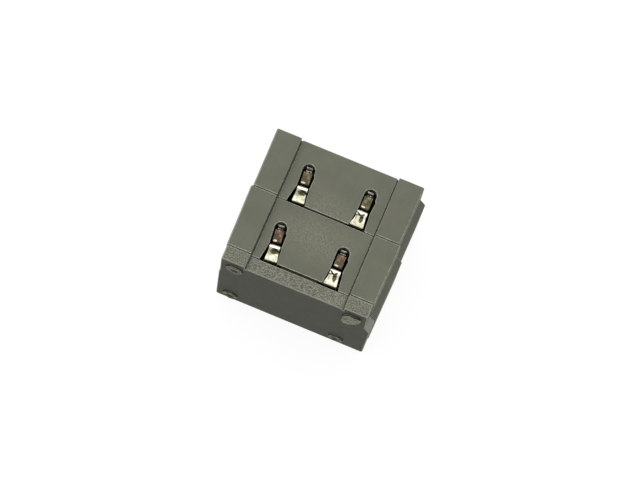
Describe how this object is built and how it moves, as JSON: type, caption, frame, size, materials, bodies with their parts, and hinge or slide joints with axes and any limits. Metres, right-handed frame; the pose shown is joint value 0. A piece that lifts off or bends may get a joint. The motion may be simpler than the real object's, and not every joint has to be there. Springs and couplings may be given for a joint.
{
  "type": "din rail contactor contact block",
  "caption": "Compact stacked plastic contact block for a DIN rail contactor: sprung metal fingers in deck slots between two side rails, shouldered flank, staked tie pins.",
  "frame": {"origin": "on the plane of the base, under the middle of the block's box", "axes": "+Z out of the contact deck, +X towards the flank with the sloped shoulder, +Y from the end plate to the rear slice"},
  "size_m": [0.024, 0.022, 0.0158],
  "materials": {
    "slice_plastic": "smooth moulded olive-grey thermoplastic, slight sheen",
    "end_plate_plastic": "olive-grey thermoplastic with a spark-eroded texture on its top",
    "pin_plastic": "heat-staked plastic, slightly lighter and pinker than the block",
    "plated_contact": "bright yellowish-white plating over copper alloy",
    "copper_leaf": "bare tarnished copper alloy",
    "stem_metal": "dull brass strip"
  },
  "bodies": {
    "block": {"rear_contact_slice": "slice_plastic", "front_contact_slice": "slice_plastic", "end_plate": "end_plate_plastic", "tie_pin_upper_left": "pin_plastic", "tie_pin_upper_right": "pin_plastic", "tie_pin_lower_left": "pin_plastic", "tie_pin_lower_right": "pin_plastic", "contact_stem_rear_left": "stem_metal", "contact_stem_rear_right": "stem_metal", "contact_stem_front_left": "stem_metal", "contact_stem_front_right": "stem_metal"},
    "finger_rear_left": {"contact_bow_rear_left": "plated_contact", "spring_leaf_rear_left": "copper_leaf"},
    "finger_rear_right": {"contact_bow_rear_right": "plated_contact", "spring_leaf_rear_right": "copper_leaf"},
    "finger_front_left": {"contact_bow_front_left": "plated_contact", "spring_leaf_front_left": "copper_leaf"},
    "finger_front_right": {"contact_bow_front_right": "plated_contact", "spring_leaf_front_right": "copper_leaf"}
  },
  "joints": [
    {"name": "press_rear_left", "type": "hinge", "parent": "block", "child": "finger_rear_left", "pos_m": [-0.00498, 0.00195, 0.0133], "axis": [-1, 0, 0], "range_deg": [0, 10], "stiffness_Nm_per_rad": 0.01},
    {"name": "press_rear_right", "type": "hinge", "parent": "block", "child": "finger_rear_right", "pos_m": [0.00422, 0.00195, 0.0133], "axis": [-1, 0, 0], "range_deg": [0, 10], "stiffness_Nm_per_rad": 0.01},
    {"name": "press_front_left", "type": "hinge", "parent": "block", "child": "finger_front_left", "pos_m": [-0.00522, -0.00775, 0.0133], "axis": [-1, 0, 0], "range_deg": [0, 10], "stiffness_Nm_per_rad": 0.01},
    {"name": "press_front_right", "type": "hinge", "parent": "block", "child": "finger_front_right", "pos_m": [0.00398, -0.00775, 0.0133], "axis": [-1, 0, 0], "range_deg": [0, 10], "stiffness_Nm_per_rad": 0.01}
  ]
}
